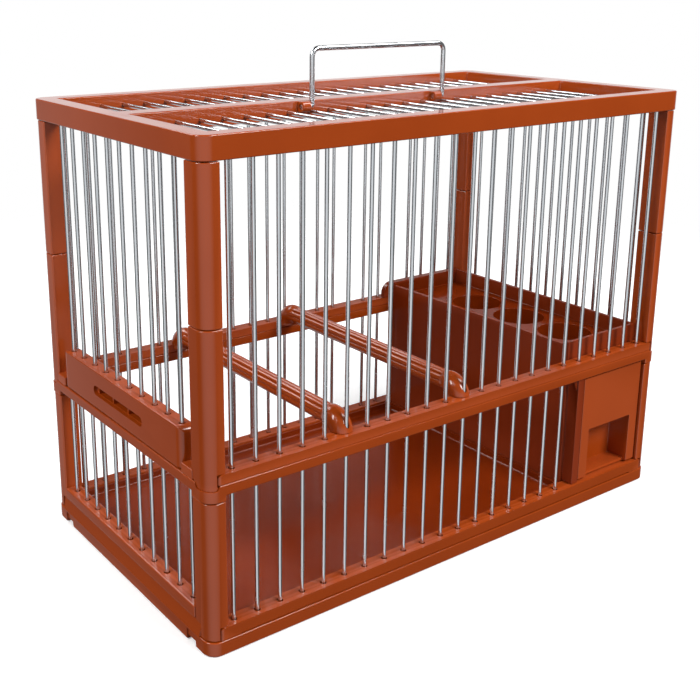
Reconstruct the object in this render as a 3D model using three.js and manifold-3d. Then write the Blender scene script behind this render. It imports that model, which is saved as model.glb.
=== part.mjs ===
// Canary breeding cage: moulded frame pieces, steel wire walls, lifting end door, litter tray,
// feeder housing with three seed wells, pull-out drawer, two perches and a folding wire handle.
// Millimetres. X runs along the cage, the tray and the door are at the -X end, the drawer opens
// at the -Y front, and Z is up from the surface that the cage stands on.

import * as THREE from 'three';
import { mergeVertices } from 'three/addons/utils/BufferGeometryUtils.js';
import Module from 'manifold-3d';

const wasm = await Module();
wasm.setup();

// ---------------------------------------------------------------- overall sizes
const cageLength = 305;
const cageDepth = 165;
const lowerStorey = 70; // base frame to middle ring
const upperStorey = 133.2; // upper rails to top ring
const cornerRadius = 6.5;
const seam = 0.3; // clearance between seated pieces

// ---------------------------------------------------------------- frame sections
const baseHeight = 7;
const baseBar = 13; // width of the base frame's bars, seen from above
const baseCrossBar = 10;
const footLength = 12.5;
const footNotch = { length: 8, height: 2, depth: 0.8 };
const railWidth = 8;
const lowerRailHeight = 6.2;
const railRelief = 0.9; // shadow gap under the lower rails, between their end feet
const railFoot = 6;
const sideGap = 0.6; // gap between the tray front and the end rail above it
const middleRingHeight = 5.2;
const collarDrop = 2.7; // the middle ring reaches down round each post head
const collarDip = 2.3; // and is hollowed on top for the post above
const dipInset = 2.4; // the hollow starts inside the post's width
const dipSlope = 2.4;
const upperRailHeight = 4.5;
const ringHeight = 10.5;
const ringWidth = 10;
const ringSkin = 2;
const roofBarWidth = 12;
const roofBarRise = 1.5; // underside of the roof bar above the ring's underside

// ---------------------------------------------------------------- posts
const postWidth = 10; // along X
const postDepth = 13; // along Y
const postInset = 0.5; // posts stand this far behind the rails
const pegRadius = 1.8;
const pegLength = 5;
const pegClearance = 0.25;
const pegInsetX = 4.6;
const pegInsetY = 5.3;
const lapLength = 4; // lower rails along X lap over the posts' faces
const lapThickness = 2.6;
const tongueLength = 2.4; // the other rails have hidden tongues
const tongueWidth = 3;

// ---------------------------------------------------------------- wires
const wirePitch = 12.5;
const wireRadius = 1;
const wireInset = 4; // wire axis behind the outer face
const socketRadius = 1.75;
const socketDepth = 2.2;
const wireReach = 2; // how far wire ends run into the grooves above them
const wireMargin = 3.5; // least distance from a post to the axis of a wire
const roofWireMargin = 9;
const roofWireDrop = 5.5; // roof wire axis below the ring's top

// ---------------------------------------------------------------- door
const doorHeight = 19.5;
const doorStub = 8.3; // stubs on the posts at either end of the door
const doorRounding = 3.5;
const doorTravel = 6;
const doorLip = { depth: 1.6, drop: 2.6 };
const slotLength = 51;
const slotHeight = 5;
const slotRise = 6.8;
const slotLedge = 2;
const slotPocket = 5.8;
const slotRib = 1.2;
const slotSill = 0.3; // pockets behind the slot, above its lower edge
const slotHead = 1.6;

// ---------------------------------------------------------------- litter tray
const trayWall = 1.6;
const trayWallHeight = 5.4;
const trayFrontHeight = 6.3;
const trayFrontThickness = 3.4;
const trayFrontSlope = 1.4;
const trayRunning = 0.6;

// ---------------------------------------------------------------- feeder housing and drawer
const feederWidth = 58;
const housingWall = 2;
const housingTop = 10; // rim above the upper rails
const lipDrop = 2; // the rim on the cabin side is lower
const plateDrop = 9; // seed plate below the rim
const plateThickness = 2;
const wellRadius = 15.5;
const wellTaper = 1.2;
const wellWall = 1.6;
const wellDepth = 26;
const wellPitch = 36;
const wellShift = -6; // middle well from the cage's middle, towards the front
const wellInset = 24; // well axes from the end wall
const earLength = 7.5;
const earClearance = 0.6; // between the ear and the wires of the back wall
const jambWidth = 5;
const jambInset = 1.5;
const drawerGap = 1;
const drawerSide = 0.8;
const drawerWall = 1.6;
const drawerFrontThickness = 2.5;
const drawerInset = 2; // drawer front behind the cage's front
const drawerHeight = 40;
const drawerLength = 138;
const pullLeg = 6.8; // front panel left at either side of the finger pull
const pullHeight = 29;
const pullDepth = 11;

// ---------------------------------------------------------------- perches and handle
const perchWires = [5, 11]; // front wires, counted from the left, that the perches straddle
const perchRadius = 4.7;
const perchRise = 4.9; // perch axis above the upper rails
const fluteCount = 8;
const fluteDepth = 0.6;
const saddleRadius = 5.1;
const saddleInset = 7.5; // saddle axis behind the outer face
const saddleHook = 2.5;
const saddleSlot = 3;
const saddleSides = 16;
const handleRadius = 1.3;
const handleHeight = 28; // pivot to the middle of the grip
const handleBend = 4;
const handleReach = 3.5; // leg spacing in wire pitches, either side of the middle
const handleStandOff = 2.3; // pivot in front of the roof bar
const lugWidth = 5;
const lugRadius = 2.6;
const pinClearance = 0.3;

// ---------------------------------------------------------------- levels and planes
const halfLength = cageLength / 2;
const halfDepth = cageDepth / 2;
const lowerRailZ = baseHeight + seam;
const lowerRailTop = lowerRailZ + lowerRailHeight;
const endRailZ = lowerRailZ + trayFrontHeight + sideGap;
const endRailTop = endRailZ + lowerRailHeight;
const middleZ = baseHeight + lowerStorey;
const middleTop = middleZ + middleRingHeight;
const upperRailZ = middleTop + seam;
const upperRailTop = upperRailZ + upperRailHeight;
const ringZ = upperRailTop + upperStorey + seam;
const ringTop = ringZ + ringHeight;
const postSeamZ = (upperRailZ + ringZ) / 2;
const roofWireZ = ringTop - roofWireDrop;
const postInnerX = halfLength - postWidth;
const postInnerY = halfDepth - postDepth;
const railInnerX = halfLength - railWidth;
const railInnerY = halfDepth - railWidth;
const feederRight = postInnerX - 0.5;
const earBackY = halfDepth - wireInset - wireRadius - earClearance;
const feederLeft = feederRight - feederWidth;
const jambLeft = feederLeft + housingWall;
const jambRight = jambLeft + jambWidth;
const corners = [[-1, -1], [1, -1], [-1, 1], [1, 1]];
const cornerName = { '-1,-1': 'front_left', '1,-1': 'front_right', '-1,1': 'back_left', '1,1': 'back_right' };

// ---------------------------------------------------------------- materials
const plastic = new THREE.MeshStandardMaterial({ color: 0x9b4420, roughness: 0.32, metalness: 0, flatShading: true });
const darkPlastic = new THREE.MeshStandardMaterial({ color: 0x8a3a1a, roughness: 0.38, metalness: 0, flatShading: true });
const steel = new THREE.MeshStandardMaterial({ color: 0xc9cfd2, roughness: 0.22, metalness: 1, flatShading: true });

// ---------------------------------------------------------------- solids
function solidOf(geometry) {
  geometry.deleteAttribute('normal');
  geometry.deleteAttribute('uv');
  const merged = mergeVertices(geometry, 1e-5);
  return new wasm.Manifold(new wasm.Mesh({
    numProp: 3,
    vertProperties: new Float32Array(merged.attributes.position.array),
    triVerts: new Uint32Array(merged.index.array),
  }));
}

function geometryOf(solid) {
  const mesh = solid.getMesh();
  const geometry = new THREE.BufferGeometry();
  geometry.setAttribute('position', new THREE.BufferAttribute(mesh.vertProperties, 3));
  geometry.setIndex(new THREE.BufferAttribute(mesh.triVerts, 1));
  geometry.computeVertexNormals();
  return geometry;
}

const join = (solids) => wasm.Manifold.union(solids);
const cut = (solid, tools) => solid.subtract(join(tools));

// A box between two values on each axis, given in either order.
function box([xa, xb], [ya, yb], [za, zb]) {
  const size = [Math.abs(xb - xa), Math.abs(yb - ya), Math.abs(zb - za)];
  const geometry = new THREE.BoxGeometry(...size);
  geometry.translate((xa + xb) / 2, (ya + yb) / 2, (za + zb) / 2);
  return solidOf(geometry);
}

// An outline, drawn in X and Y, raised from one level to another.
function prism(shape, z0, z1, curveSegments = 5) {
  const geometry = new THREE.ExtrudeGeometry(shape, { depth: z1 - z0, bevelEnabled: false, curveSegments });
  geometry.translate(0, 0, z0);
  return solidOf(geometry);
}

// An outline drawn in Y and Z, thickened along X.
function prismAlongX(shape, x0, x1, curveSegments = 5) {
  const geometry = new THREE.ExtrudeGeometry(shape, { depth: x1 - x0, bevelEnabled: false, curveSegments });
  geometry.applyMatrix4(new THREE.Matrix4().set(0, 0, 1, x0, 1, 0, 0, 0, 0, 1, 0, 0, 0, 0, 0, 1));
  return solidOf(geometry);
}

// An outline drawn in X and Z, thickened along Y.
function prismAlongY(shape, y0, y1, curveSegments = 5) {
  const geometry = new THREE.ExtrudeGeometry(shape, { depth: y1 - y0, bevelEnabled: false, curveSegments });
  geometry.applyMatrix4(new THREE.Matrix4().set(1, 0, 0, 0, 0, 0, -1, y1, 0, 1, 0, 0, 0, 0, 0, 1));
  return solidOf(geometry);
}

// A rectangle whose corners have their own radii, listed from low-low round to low-high.
function roundedRectangle([xa, xb], [ya, yb], radii, steps = 5) {
  const [x0, x1] = [Math.min(xa, xb), Math.max(xa, xb)];
  const [y0, y1] = [Math.min(ya, yb), Math.max(ya, yb)];
  const points = [];
  [[x0, y0, 1, 1], [x1, y0, -1, 1], [x1, y1, -1, -1], [x0, y1, 1, -1]].forEach(([x, y, inX, inY], i) => {
    const r = radii[i];
    const count = r > 0 ? steps : 0;
    for (let j = 0; j <= count; j += 1) {
      const angle = Math.PI + (i + (count ? j / count : 0)) * Math.PI / 2;
      points.push(new THREE.Vector2(x + inX * r + r * Math.cos(angle), y + inY * r + r * Math.sin(angle)));
    }
  });
  return new THREE.Shape(points);
}

// A round bar between two points.
function bar(from, to, radius, sides) {
  const a = new THREE.Vector3(...from);
  const b = new THREE.Vector3(...to);
  const along = b.clone().sub(a);
  const geometry = new THREE.CylinderGeometry(radius, radius, along.length(), sides);
  geometry.applyQuaternion(new THREE.Quaternion().setFromUnitVectors(new THREE.Vector3(0, 1, 0), along.normalize()));
  geometry.translate(...a.add(b).multiplyScalar(0.5).toArray());
  return solidOf(geometry);
}

// A round bar bent through a quarter circle, from a point in one direction into another.
function quarterBend(start, direction, turn, bendRadius, barRadius, sides, steps) {
  const from = new THREE.Vector3(...start);
  const ahead = new THREE.Vector3(...direction);
  const aside = new THREE.Vector3(...turn);
  const path = new THREE.Curve();
  path.getPoint = (t, target = new THREE.Vector3()) => target.copy(from)
    .addScaledVector(ahead, bendRadius * Math.sin(t * Math.PI / 2))
    .addScaledVector(aside, bendRadius * (1 - Math.cos(t * Math.PI / 2)));
  const section = new THREE.Shape();
  section.absarc(0, 0, barRadius, 0, 2 * Math.PI, false);
  return solidOf(new THREE.ExtrudeGeometry(section, {
    extrudePath: path, steps, curveSegments: sides, bevelEnabled: false,
  }));
}

// The flat-sided hole that takes a round bar with clearance all round.
const holeRadius = (radius, clearance, sides) => (radius + clearance) / Math.cos(Math.PI / sides);

// Evenly pitched places, centred on zero, that fit in a span.
function pitched(span, pitch) {
  const gaps = Math.floor(span / pitch);
  return Array.from({ length: gaps + 1 }, (_, i) => (i - gaps / 2) * pitch);
}

const cage = new THREE.Group();

function add(name, solid, material, turn = 0) {
  const mesh = new THREE.Mesh(geometryOf(solid), material);
  mesh.name = name;
  mesh.rotation.z = turn;
  cage.add(mesh);
}

// ---------------------------------------------------------------- posts
const pegSides = 8;
const pegAt = (sx, sy) => [sx * (halfLength - pegInsetX), sy * (halfDepth - pegInsetY)];

function peg(sx, sy, z0, z1) {
  const [x, y] = pegAt(sx, sy);
  return bar([x, y, z0], [x, y, z1], pegRadius, pegSides);
}

function pegHole(sx, sy, z0, z1) {
  const [x, y] = pegAt(sx, sy);
  return bar([x, y, z0], [x, y, z1], holeRadius(pegRadius, pegClearance, pegSides), pegSides);
}

function postOutline(sx, sy, inset, growth = 0) {
  const radius = cornerRadius - inset;
  const radii = [[-1, -1], [1, -1], [1, 1], [-1, 1]].map(([cx, cy]) => (cx === sx && cy === sy ? radius : 0));
  return roundedRectangle(
    [sx * (halfLength - inset), sx * (postInnerX - growth)],
    [sy * (halfDepth - inset), sy * (postInnerY - growth)],
    radii,
  );
}

// Rebate in a post's face that takes the lapped end of a rail along X.
function lapRebate(sx, sy, z0, z1) {
  const reach = sx * (postInnerX + lapLength + seam);
  return box(
    [sx * (postInnerX - 1), reach],
    [sy * (halfDepth + 1), sy * (halfDepth - lapThickness - seam)],
    [z0 - seam, z1 + seam],
  );
}

// Mortises in a post's sides that take the tongues of the rails along Y and along X.
function tongueMortiseY(sx, sy, z0, z1) {
  const middle = sx * (halfLength - railWidth / 2);
  const half = tongueWidth / 2 + seam;
  return box(
    [middle - half, middle + half],
    [sy * (postInnerY - 1), sy * (postInnerY + tongueLength + seam)],
    [z0 + 1 - seam, z1 - 1 + seam],
  );
}

function tongueMortiseX(sx, sy, z0, z1) {
  const middle = sy * (halfDepth - railWidth / 2);
  const half = tongueWidth / 2 + seam;
  return box(
    [sx * (postInnerX - 1), sx * (postInnerX + tongueLength + seam)],
    [middle - half, middle + half],
    [z0 + 1 - seam, z1 - 1 + seam],
  );
}

function lowerPost(sx, sy) {
  const bottom = lowerRailZ;
  const top = middleZ - collarDrop - seam;
  const pegTop = middleTop - collarDip + seam + pegLength;
  const body = join([prism(postOutline(sx, sy, postInset), bottom, top), peg(sx, sy, top - 1, pegTop)]);
  const sideZ = sx < 0 ? [endRailZ, endRailTop] : [lowerRailZ, lowerRailTop];
  const tools = [
    pegHole(sx, sy, bottom - 1, bottom + pegLength + seam),
    lapRebate(sx, sy, lowerRailZ, lowerRailTop),
    tongueMortiseY(sx, sy, ...sideZ),
  ];
  if (sx < 0) {
    // the post's foot is stepped back so that the tray runs past it
    tools.push(box(
      [sx * (halfLength + 1), sx * (postInnerX - 1)],
      [sy * (railInnerY - 0.2), sy * (postInnerY - 1)],
      [bottom - 1, endRailZ - seam],
    ));
  }
  return cut(body, tools);
}

function upperPostFoot(sx, sy) {
  const bottom = middleTop - collarDip + seam;
  const top = postSeamZ - seam / 2;
  const shaft = prism(postOutline(sx, sy, postInset), upperRailZ, top);
  const plug = dipBlock(sx, sy, bottom, upperRailZ + 0.5, postInset, seam);
  const parts = [shaft, plug, peg(sx, sy, top - 1, top + seam + pegLength)];
  if (sx < 0) {
    parts.push(box(
      [sx * halfLength, sx * railInnerX],
      [sy * (postInnerY + 1), sy * (postInnerY - doorStub)],
      [upperRailZ, upperRailTop],
    ));
  }
  const tools = [
    pegHole(sx, sy, bottom - 1, bottom + pegLength + seam),
    tongueMortiseX(sx, sy, upperRailZ, upperRailTop),
  ];
  if (sx > 0) tools.push(tongueMortiseY(sx, sy, upperRailZ, upperRailTop));
  return cut(join(parts), tools);
}

function upperPostHead(sx, sy) {
  const bottom = postSeamZ + seam / 2;
  const top = ringZ - seam;
  const body = join([prism(postOutline(sx, sy, postInset), bottom, top), peg(sx, sy, top - 1, top + seam + pegLength)]);
  return cut(body, [pegHole(sx, sy, bottom - 1, bottom + pegLength + seam)]);
}

// ---------------------------------------------------------------- base frame
function baseFrame() {
  const radii = Array(4).fill(cornerRadius);
  const outline = roundedRectangle([-halfLength, halfLength], [-halfDepth, halfDepth], radii);
  const tools = [];
  const windowY = [-(halfDepth - baseBar), halfDepth - baseBar];
  const barAt = [-halfLength + baseBar, (feederLeft - halfLength) / 2 + baseBar / 2, feederLeft, halfLength - baseBar];
  const windowEnds = [
    [barAt[0], barAt[1] - baseCrossBar / 2],
    [barAt[1] + baseCrossBar / 2, barAt[2] - baseCrossBar / 2],
    [barAt[2] + baseCrossBar / 2, barAt[3]],
  ];
  for (const [x0, x1] of windowEnds) {
    tools.push(prism(roundedRectangle([x0, x1], windowY, [3, 3, 3, 3], 3), -1, baseHeight + 1));
  }
  for (const sy of [-1, 1]) {
    const y0 = sy * (halfDepth - footLength);
    const y1 = y0 - sy * footNotch.length;
    tools.push(box([-halfLength - 1, -halfLength + baseBar + 1], [y0, y1], [-1, footNotch.height]));
    tools.push(box([-halfLength - 1, -halfLength + footNotch.depth], [y0, y1], [-1, baseHeight - 1.2]));
  }
  const pegs = corners.map(([sx, sy]) => peg(sx, sy, baseHeight - 1, baseHeight + pegLength));
  return join([cut(prism(outline, 0, baseHeight), tools), ...pegs]);
}

// ---------------------------------------------------------------- rails with their wires
// Drawn for the front: the rail runs along X with its outer face at -Y, and is then turned.
function wiredRail({ outer, halfSpan, z0, z1, wires, wireTop, end, relief }) {
  const y0 = -outer;
  const y1 = y0 + railWidth;
  const axisY = y0 + wireInset;
  const parts = [box([-halfSpan, halfSpan], [y0, y1], [z0, z1])];
  const tools = [];
  for (const s of [-1, 1]) {
    if (end === 'lap') {
      const tip = halfSpan + seam + lapLength;
      parts.push(prismAlongY(lapEnd(s, halfSpan - 1, tip, z0, z1), y0, y0 + lapThickness, 4));
    } else {
      const tip = halfSpan + seam + tongueLength;
      const middle = (y0 + y1) / 2;
      parts.push(box(
        [s * (halfSpan - 1), s * tip],
        [middle - tongueWidth / 2, middle + tongueWidth / 2],
        [z0 + 1, z1 - 1],
      ));
    }
  }
  if (relief) tools.push(box([-halfSpan + railFoot, halfSpan - railFoot], [y0 - 1, y1 + 1], [z0 - 1, z0 + relief]));
  for (const x of wires) {
    tools.push(bar([x, axisY, z1 - socketDepth], [x, axisY, z1 + 1], socketRadius, 6));
  }
  const body = cut(join(parts), tools);
  const rods = wires.map((x) => bar([x, axisY, z1 - socketDepth - 0.8], [x, axisY, wireTop], wireRadius, 6));
  return join([body, ...rods]);
}

// Side view of a lapped rail end: square at the rail, rounded on top at its tip.
function lapEnd(s, from, tip, z0, z1) {
  const r = 1.8;
  const shape = new THREE.Shape();
  shape.moveTo(s * from, z0);
  shape.lineTo(s * tip, z0);
  shape.lineTo(s * tip, z1 - r);
  shape.absarc(s * (tip - r), z1 - r, r, s > 0 ? 0 : Math.PI, Math.PI / 2, s < 0);
  shape.lineTo(s * from, z1);
  return shape;
}

const spanX = postInnerX - seam;
const spanY = postInnerY - seam;
const wiresX = pitched(2 * (postInnerX - wireMargin), wirePitch);
const wiresY = pitched(2 * (postInnerY - wireMargin), wirePitch);
const lowerWireTop = middleZ + wireReach;
const upperWireTop = ringZ + wireReach;
const quarter = Math.PI / 2;

function lowerRail(along, wires, end) {
  return wiredRail({
    outer: along === 'X' ? halfDepth : halfLength,
    halfSpan: along === 'X' ? spanX : spanY,
    z0: lowerRailZ, z1: lowerRailTop, wires, wireTop: lowerWireTop, end, relief: railRelief - seam,
  });
}

function upperRail(along, wires, end) {
  return wiredRail({
    outer: along === 'X' ? halfDepth : halfLength,
    halfSpan: along === 'X' ? spanX : spanY,
    z0: upperRailZ, z1: upperRailTop, wires, wireTop: upperWireTop, end,
  });
}

function endRail() {
  return wiredRail({
    outer: halfLength, halfSpan: spanY, z0: endRailZ, z1: endRailTop, wires: wiresY, wireTop: lowerWireTop, end: 'tongue',
  });
}

// ---------------------------------------------------------------- middle ring
// The hollow on top of a corner, with sloping sides, or the plug above that fills it.
function dipBlock(sx, sy, z0, z1, inset, shrink) {
  const plan = prism(postOutline(sx, sy, inset), z0, z1);
  const side = (inner, outer) => {
    const start = inner + dipInset + shrink;
    const shape = new THREE.Shape();
    shape.moveTo(start + dipSlope, z0);
    shape.bezierCurveTo(start + dipSlope / 2, z0, start + dipSlope / 2, upperRailZ, start, upperRailZ);
    shape.lineTo(start, z1);
    shape.lineTo(outer, z1);
    shape.lineTo(outer, z0);
    return shape;
  };
  const acrossX = prismAlongY(side(postInnerX, halfLength + 1), -halfDepth - 1, halfDepth + 1);
  const acrossY = prismAlongX(side(postInnerY, halfDepth + 1), -halfLength - 1, halfLength + 1);
  return plan.intersect(sx > 0 ? acrossX : mirror(acrossX, -1, 1)).intersect(sy > 0 ? acrossY : mirror(acrossY, 1, -1));
}

function mirror(solid, mx, my) {
  const mesh = solid.getMesh();
  const geometry = new THREE.BufferGeometry();
  const position = Float32Array.from(mesh.vertProperties, (v, i) => (i % 3 === 0 ? v * mx : i % 3 === 1 ? v * my : v));
  const index = Array.from(mesh.triVerts);
  for (let i = 0; i < index.length; i += 3) [index[i], index[i + 1]] = [index[i + 1], index[i]];
  geometry.setAttribute('position', new THREE.BufferAttribute(position, 3));
  geometry.setIndex(index);
  return solidOf(geometry);
}

// A groove in the underside of a ring, over the wires of one side.
function wireGroove(side, width, z0, z1) {
  const alongX = side === 'front' || side === 'back';
  const sign = side === 'front' || side === 'left' ? -1 : 1;
  const middle = sign * ((alongX ? halfDepth : halfLength) - wireInset);
  const across = [middle - width / 2, middle + width / 2];
  const span = alongX ? postInnerX - 1 : postInnerY - 1;
  return alongX ? box([-span, span], across, [z0, z1]) : box(across, [-span, span], [z0, z1]);
}

const sides = ['front', 'back', 'left', 'right'];
const grooveWidth = 2 * wireRadius + 1.2;

function middleRing() {
  const radii = Array(4).fill(cornerRadius);
  const outline = roundedRectangle([-halfLength, halfLength], [-halfDepth, halfDepth], radii);
  const collars = corners.map(([sx, sy]) => prism(postOutline(sx, sy, 0), middleZ - collarDrop, middleZ + 1));
  const tools = [
    box([-railInnerX, railInnerX], [-railInnerY, railInnerY], [middleZ - collarDrop - 1, middleTop + 1]),
    ...corners.map(([sx, sy]) => dipBlock(sx, sy, middleTop - collarDip, middleTop + 1, -1, 0)),
    ...corners.map(([sx, sy]) => pegHole(sx, sy, middleZ - collarDrop - 1, middleTop + 1)),
    ...sides.map((side) => wireGroove(side, grooveWidth, middleZ - 1, middleZ + wireReach + 0.6)),
  ];
  return cut(join([prism(outline, middleZ, middleTop), ...collars]), tools);
}

// ---------------------------------------------------------------- top ring with roof wires
const roofWires = pitched(2 * (halfLength - ringWidth - roofWireMargin), wirePitch);
const handleLegX = handleReach * wirePitch;
const pivotY = -(roofBarWidth / 2 + handleStandOff);
const pivotZ = roofWireZ + wireRadius + 0.5 + handleRadius;
const legX = [-handleLegX, handleLegX];

// Lug on the roof bar beside a handle leg, round at its nose, with the hole for the leg's foot.
function handleLug(x) {
  const right = x - handleRadius - 0.5;
  const left = right - lugWidth;
  const shape = new THREE.Shape();
  shape.moveTo(-roofBarWidth / 2 + 1, pivotZ - lugRadius);
  shape.lineTo(-roofBarWidth / 2 + 1, pivotZ + lugRadius);
  shape.lineTo(pivotY, pivotZ + lugRadius);
  shape.absarc(pivotY, pivotZ, lugRadius, Math.PI / 2, 3 * Math.PI / 2, false);
  return prismAlongX(shape, left, right, 6);
}

function topRing() {
  const inX = halfLength - ringWidth;
  const inY = halfDepth - ringWidth;
  const halfBar = roofBarWidth / 2;
  const radii = Array(4).fill(cornerRadius);
  const outline = roundedRectangle([-halfLength, halfLength], [-halfDepth, halfDepth], radii);
  const holeR = holeRadius(handleRadius, pinClearance, 10);
  const tools = [
    box([-inX, inX], [halfBar, inY], [ringZ - 1, ringTop + 1]),
    box([-inX, inX], [-inY, -halfBar], [ringZ - 1, ringTop + 1]),
    box([-inX, inX], [-halfBar - 1, halfBar + 1], [ringZ - 1, ringZ + roofBarRise]),
    ...corners.map(([sx, sy]) => pegHole(sx, sy, ringZ - 1, ringZ + pegLength + seam)),
    ...['front', 'back', 'right'].map((side) => wireGroove(side, grooveWidth, ringZ - 1, ringZ + wireReach + 1)),
    wireGroove('left', grooveWidth, ringZ - 1, ringTop - ringSkin),
  ];
  const frame = cut(prism(outline, ringZ, ringTop), tools);
  const reach = inY + 2;
  const rods = roofWires.map((x) => bar([x, -reach, roofWireZ], [x, reach, roofWireZ], wireRadius, 6));
  const lugs = legX.map(handleLug);
  const pinHoles = legX.map((x) => bar(
    [x - handleRadius - lugWidth - 2, pivotY, pivotZ], [x, pivotY, pivotZ], holeR, 10,
  ));
  return cut(join([frame, ...rods, ...lugs]), pinHoles);
}

// ---------------------------------------------------------------- handle
function handle() {
  const sides8 = 8;
  const top = pivotZ + handleHeight;
  const parts = [];
  const overlap = 0.02;
  for (const x of legX) {
    const inward = x < 0 ? 1 : -1;
    const footTip = x - handleRadius - 0.5 - lugWidth + 0.3;
    parts.push(bar([footTip, pivotY, pivotZ], [x + handleRadius * 0.6, pivotY, pivotZ], handleRadius, sides8));
    parts.push(bar([x, pivotY, pivotZ - handleRadius * 0.4], [x, pivotY, top - handleBend + overlap], handleRadius, sides8));
    parts.push(quarterBend([x, pivotY, top - handleBend], [0, 0, 1], [inward, 0, 0], handleBend, handleRadius, sides8, 5));
  }
  const grip = handleLegX - handleBend + overlap;
  parts.push(bar([-grip, pivotY, top], [grip, pivotY, top], handleRadius, sides8));
  return join(parts);
}

// ---------------------------------------------------------------- end door
const doorZ = middleTop + 1;
const doorTop = doorZ + doorHeight;
const doorHalf = postInnerY - doorStub - seam;
const doorWires = pitched(2 * (doorHalf - wireMargin), wirePitch);

// Drawn for the front and turned to the end, like the rails.
function endDoor() {
  const y0 = -halfLength;
  const y1 = y0 + railWidth;
  const axisY = y0 + wireInset;
  const r = doorRounding;
  const face = prismAlongY(roundedRectangle([-doorHalf, doorHalf], [doorZ, doorTop], [0, 0, r, r]), y0, y1, 4);
  const plan = prism(roundedRectangle([-doorHalf, doorHalf], [y0, y1], [r, r, 0, 0]), doorZ, doorTop, 4);
  const nibs = [-1, 1].map((s) => box(
    [s * (doorHalf - 4), s * (doorHalf - 8)], [y0 + 3, y1 - 1], [middleTop + seam, doorZ + 1],
  ));
  const lipTop = doorZ + 2;
  const lip = box(
    [-doorHalf, doorHalf], [y1 - 1, y1 + seam + doorLip.depth], [doorZ, lipTop],
  );
  const hook = box(
    [-doorHalf, doorHalf],
    [y1 + seam, y1 + seam + doorLip.depth],
    [middleTop - doorLip.drop, lipTop],
  );
  const slotZ = doorZ + slotRise;
  const end = slotHeight / 2 - 0.01;
  const slot = prismAlongY(
    roundedRectangle([-slotLength / 2, slotLength / 2], [slotZ, slotZ + slotHeight], Array(4).fill(end)),
    y0 - 1, y0 + slotLedge, 4,
  );
  const inner = slotLength - 5;
  const cell = (inner - 2 * slotRib) / 3;
  const pockets = [-1, 0, 1].map((i) => {
    const middle = i * (cell + slotRib);
    return box([middle - cell / 2, middle + cell / 2], [y0 + 1, y0 + slotPocket], [slotZ + slotSill, slotZ + slotHeight + slotHead]);
  });
  const sockets = doorWires.map((x) => bar([x, axisY, doorTop - socketDepth], [x, axisY, doorTop + 1], socketRadius, 6));
  const wireTop = ringZ + 0.6;
  const rods = doorWires.map((x) => bar([x, axisY, doorTop - socketDepth - 0.8], [x, axisY, wireTop], wireRadius, 6));
  const panel = cut(face.intersect(plan), [slot, ...pockets, ...sockets]);
  return join([panel, ...nibs, lip, hook, ...rods]);
}

// ---------------------------------------------------------------- litter tray
function litterTray() {
  const z0 = lowerRailZ;
  const halfY = railInnerY - trayRunning;
  const left = -halfLength + trayFrontThickness;
  const right = feederLeft - trayRunning;
  const shell = box([left - 1, right], [-halfY, halfY], [z0, z0 + trayWallHeight]);
  const hollow = box([left, right - trayWall], [-halfY + trayWall, halfY - trayWall], [z0 + trayWall, z0 + trayWallHeight + 1]);
  const profile = new THREE.Shape();
  const x0 = -halfLength;
  profile.moveTo(x0, z0);
  profile.lineTo(left, z0);
  profile.lineTo(left, z0 + trayFrontHeight);
  profile.lineTo(x0 + trayFrontSlope, z0 + trayFrontHeight);
  const front = prismAlongY(profile, -halfY, halfY);
  const plan = prism(
    roundedRectangle([x0 - 1, left], [-halfY, halfY], [trayFrontThickness, 0, 0, trayFrontThickness]),
    z0 - 1, z0 + trayFrontHeight + 1, 4,
  );
  return join([shell.subtract(hollow), front.intersect(plan)]);
}

// ---------------------------------------------------------------- feeder housing
const housingZ = upperRailTop + housingTop;
const housingY = railInnerY - 0.6;
const plateZ = housingZ - plateDrop;
const bayFloorZ = lowerRailTop + seam;
const bayTop = middleZ - seam;
const wellX = feederRight - wellInset;
const wellsY = [-1, 0, 1].map((i) => wellShift + i * wellPitch);
const wellBottom = plateZ - wellDepth;

function cone(x, y, z0, z1, r0, r1, sides) {
  const geometry = new THREE.CylinderGeometry(r1, r0, z1 - z0, sides);
  geometry.rotateX(quarter);
  geometry.translate(x, y, (z0 + z1) / 2);
  return solidOf(geometry);
}

// Quarter-round ear that hangs on the back rail beyond the housing's corner.
function housingEar() {
  const round = earLength - 0.5;
  const tip = feederLeft - earLength;
  const foot = upperRailTop + seam;
  const shape = new THREE.Shape();
  shape.moveTo(feederLeft + 1, foot);
  shape.lineTo(feederLeft + 1, housingZ);
  shape.lineTo(tip + round, housingZ);
  shape.absarc(tip + round, housingZ - round, round, Math.PI / 2, Math.PI, false);
  shape.lineTo(tip, foot);
  return prismAlongY(shape, railInnerY - 1, earBackY, 6);
}

function feederHousing() {
  const w = housingWall;
  const inner = [feederLeft + w, feederRight - w];
  const innerY = [-(housingY - w), housingY - w];
  const wellSides = 28;
  const block = box([feederLeft, feederRight], [-housingY, housingY], [lowerRailZ, housingZ]);
  const rimFlange = box([feederLeft, feederRight], [housingY - w, earBackY], [upperRailTop + seam, housingZ]);
  const jamb = box([jambLeft, jambRight], [-(halfDepth - jambInset), -(housingY - w)], [bayFloorZ, bayTop]);
  const cups = wellsY.map((y) => cone(
    wellX, y, wellBottom - wellWall, plateZ - 1, wellRadius - wellTaper + wellWall, wellRadius + wellWall, wellSides,
  ));
  const hollows = [
    box(inner, innerY, [plateZ, housingZ + 1]),
    box([feederLeft - 1, feederLeft + w + 1], innerY, [housingZ - lipDrop, housingZ + 1]),
    box(inner, innerY, [bayFloorZ, plateZ - plateThickness]),
    box([jambRight, feederRight - w], [-(housingY + 1), -(housingY - w - 1)], [bayFloorZ, bayTop]),
    box(inner, innerY, [lowerRailZ - 1, bayFloorZ - plateThickness]),
  ];
  const shell = join([cut(block, hollows), rimFlange, housingEar(), jamb, ...cups]);
  const wells = wellsY.map((y) => cone(wellX, y, wellBottom, plateZ + 1, wellRadius - wellTaper, wellRadius, wellSides));
  return cut(shell, wells);
}

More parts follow.
